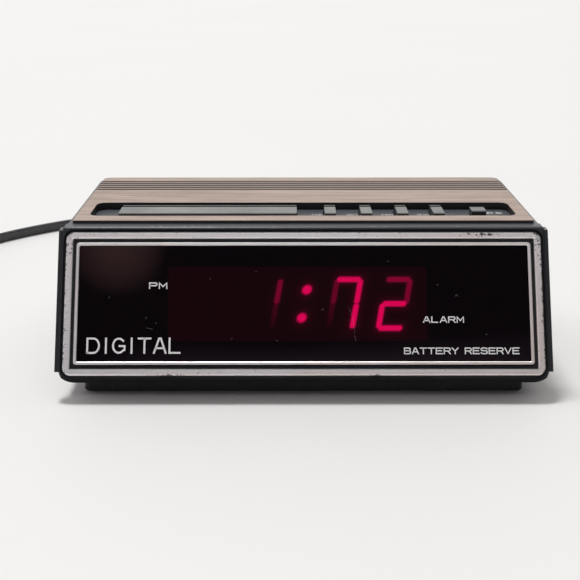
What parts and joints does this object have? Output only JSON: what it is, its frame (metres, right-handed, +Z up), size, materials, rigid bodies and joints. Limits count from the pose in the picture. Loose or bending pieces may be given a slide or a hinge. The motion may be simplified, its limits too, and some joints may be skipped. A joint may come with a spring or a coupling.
{
  "type": "digital alarm clock",
  "caption": "Mains alarm clock: leaning red display in a silver-trimmed black frame, wood-grain top with recessed snooze bar and keys.",
  "frame": {"origin": "on the surface it stands on, under the middle of the clock without its cord", "axes": "+X to the right as seen from the front, the front faces -Y, +Z up"},
  "size_m": [0.36, 0.296, 0.0643],
  "materials": {
    "case_black": "satin moulded black plastic",
    "frame_black": "moulded black plastic, half gloss",
    "wood_foil": "matt wood-grain foil",
    "brushed_trim": "brushed silver foil",
    "red_lens": "polished dark red plastic",
    "display_black": "matt black",
    "led_red": "lit red light guides",
    "key_grey": "satin dark grey",
    "circuit_board": "phenolic board",
    "chip_black": "moulded epoxy",
    "capacitor_blue": "shrink sleeve",
    "resistor_tan": "lacquer",
    "core_steel": "lacquered laminations",
    "coil_tape": "yellow tape",
    "battery_jacket": "plain painted steel jacket",
    "ribbon_grey": "flat cable",
    "rubber_black": "soft matt",
    "label_silver": "blank printed foil",
    "steel": "plated",
    "brass": "plain brass",
    "cord_grey": "flexible vinyl"
  },
  "bodies": {
    "case": {"alarm_set_spring": "steel", "backup_battery": "battery_jacket", "battery_snap": "rubber_black", "capacitors": "capacitor_blue", "case_screws": "steel", "clock_chip": "chip_black", "colon_dots": "led_red", "cord_coil": "cord_grey", "cord_run": "cord_grey", "cord_tail": "cord_grey", "diodes": "chip_black", "display_board": "circuit_board", "display_mask": "display_black", "display_reflector": "display_black", "display_ribbon": "ribbon_grey", "display_screws": "steel", "fast_set_spring": "steel", "front_frame": "frame_black", "hour_ones_digit": "led_red", "hour_tens_digit": "led_red", "indicator_dots": "led_red", "inner_trim": "brushed_trim", "key_board": "circuit_board", "key_board_screws": "steel", "key_ribbon": "ribbon_grey", "lens": "red_lens", "lower_case": "case_black", "main_board": "circuit_board", "main_board_screws": "steel", "minute_ones_digit": "led_red", "minute_tens_digit": "led_red", "outer_trim": "brushed_trim", "plug_blades": "brass", "plug_body": "cord_grey", "rating_plate": "label_silver", "resistors": "resistor_tan", "rubber_feet": "rubber_black", "slide_switch_body": "steel", "slow_set_spring": "steel", "snooze_springs": "steel", "sounder": "chip_black", "strain_relief": "cord_grey", "time_set_spring": "steel", "transformer_coil": "coil_tape", "transformer_core": "core_steel", "upper_case": "case_black", "wood_top_panel": "wood_foil"},
    "snooze": {"snooze_bar": "key_grey", "snooze_contacts": "rubber_black"},
    "time_set_button": {"time_set_key": "key_grey", "time_set_contact": "rubber_black"},
    "alarm_set_button": {"alarm_set_key": "key_grey", "alarm_set_contact": "rubber_black"},
    "fast_set_button": {"fast_set_key": "key_grey", "fast_set_contact": "rubber_black"},
    "slow_set_button": {"slow_set_key": "key_grey", "slow_set_contact": "rubber_black"},
    "alarm_switch": {"alarm_switch_knob": "key_grey"},
    "door": {"battery_door": "case_black"}
  },
  "joints": [
    {"name": "snooze_press", "type": "slide", "parent": "case", "child": "snooze", "axis": [0, 0, -1], "range_m": [0, 0.0015], "stiffness_N_per_m": 300, "springref_m": -0.003, "deforming": ["snooze_springs"]},
    {"name": "time_set_press", "type": "slide", "parent": "case", "child": "time_set_button", "axis": [0, 0, -1], "range_m": [0, 0.0015], "stiffness_N_per_m": 200, "springref_m": -0.003, "deforming": ["time_set_spring"]},
    {"name": "alarm_set_press", "type": "slide", "parent": "case", "child": "alarm_set_button", "axis": [0, 0, -1], "range_m": [0, 0.0015], "stiffness_N_per_m": 200, "springref_m": -0.003, "deforming": ["alarm_set_spring"]},
    {"name": "fast_set_press", "type": "slide", "parent": "case", "child": "fast_set_button", "axis": [0, 0, -1], "range_m": [0, 0.0015], "stiffness_N_per_m": 200, "springref_m": -0.003, "deforming": ["fast_set_spring"]},
    {"name": "slow_set_press", "type": "slide", "parent": "case", "child": "slow_set_button", "axis": [0, 0, -1], "range_m": [0, 0.0015], "stiffness_N_per_m": 200, "springref_m": -0.003, "deforming": ["slow_set_spring"]},
    {"name": "alarm_switch_slide", "type": "slide", "parent": "case", "child": "alarm_switch", "axis": [1, 0, 0], "range_m": [-0.002, 0.002]},
    {"name": "battery_door_slide", "type": "slide", "parent": "case", "child": "door", "axis": [0, 1, 0], "range_m": [0, 0.056]}
  ]
}
